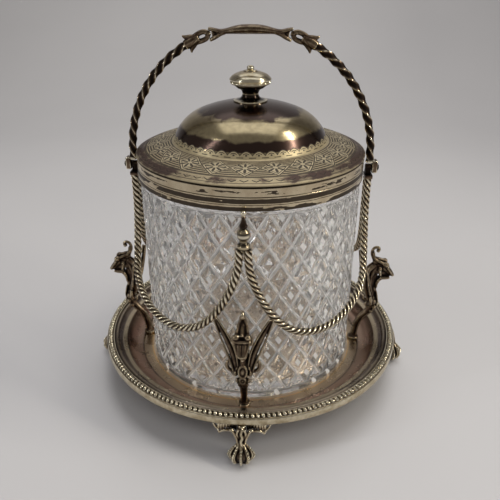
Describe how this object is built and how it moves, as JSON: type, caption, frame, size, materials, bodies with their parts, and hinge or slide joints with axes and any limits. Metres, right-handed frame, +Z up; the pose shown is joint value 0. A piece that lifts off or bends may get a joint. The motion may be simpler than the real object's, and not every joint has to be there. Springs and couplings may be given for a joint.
{
  "type": "biscuit jar",
  "caption": "Cut-glass biscuit jar with a domed plated lid, in a footed plated frame with rope swags, horned beast brackets and a twisted swing handle",
  "frame": {"origin": "centre of the footprint, on the surface the four feet stand on", "axes": "+Z up along the jar's axis and the longest extent, -Y the front with a finial and a beast bracket, +X the right-hand handle pivot"},
  "size_m": [0.207, 0.207, 0.2161],
  "materials": {
    "dish_plate": "silver plate worn to pinkish copper, brown in the hollows",
    "frame_plate": "polished silver plate with near-black recesses",
    "rope_plate": "polished twisted plate, dark between strands",
    "pin_metal": "polished rivet",
    "handle_plate": "polished plate, dark in the flutes",
    "cut_glass": "clear polished lead crystal",
    "collar_plate": "silver plate with a dark tarnished band",
    "plaster": "matt plaster",
    "lid_plate": "engraved silver plate with brown tarnish",
    "knob_plate": "polished silver plate",
    "screw_brass": "plain brass"
  },
  "bodies": {
    "stand": {"dish": "dish_plate", "bead_rim": "frame_plate", "claw_foot_front": "frame_plate", "claw_foot_right": "frame_plate", "claw_foot_back": "frame_plate", "claw_foot_left": "frame_plate", "beast_bracket_front": "frame_plate", "beast_bracket_right": "frame_plate", "beast_bracket_back": "frame_plate", "beast_bracket_left": "frame_plate", "bracket_nuts": "frame_plate", "finial_front": "frame_plate", "finial_back": "frame_plate", "pivot_post_left": "frame_plate", "pivot_post_right": "frame_plate", "rope_swag_front_right": "rope_plate", "rope_swag_front_left": "rope_plate", "rope_swag_back_right": "rope_plate", "rope_swag_back_left": "rope_plate", "pivot_pin_left": "pin_metal", "pivot_pin_right": "pin_metal"},
    "jar": {"glass_jar": "cut_glass", "collar_band": "collar_plate", "collar_cement": "plaster"},
    "lid": {"lid_shell": "lid_plate", "lid_bezel": "lid_plate", "knob_base": "knob_plate", "knob_cup": "knob_plate", "knob_bead_ring": "knob_plate", "knob_cap": "knob_plate", "knob_button": "knob_plate", "knob_stud": "screw_brass", "knob_nut": "screw_brass"},
    "handle": {"handle_end_left": "handle_plate", "handle_end_right": "handle_plate", "handle_rod_left": "handle_plate", "handle_rod_right": "handle_plate", "handle_ferrule_left": "handle_plate", "handle_ferrule_right": "handle_plate", "handle_grip": "handle_plate"}
  },
  "joints": [
    {"name": "handle_swing", "type": "hinge", "parent": "stand", "child": "handle", "pos_m": [0, 0, 0.138], "axis": [1, 0, 0], "range_deg": [-95, 95]},
    {"name": "jar_lift", "type": "slide", "parent": "stand", "child": "jar", "axis": [0, 0, 1], "range_m": [0, 0.009]},
    {"name": "lid_lift", "type": "slide", "parent": "jar", "child": "lid", "axis": [0, 0, 1], "range_m": [0, 0.009]}
  ]
}
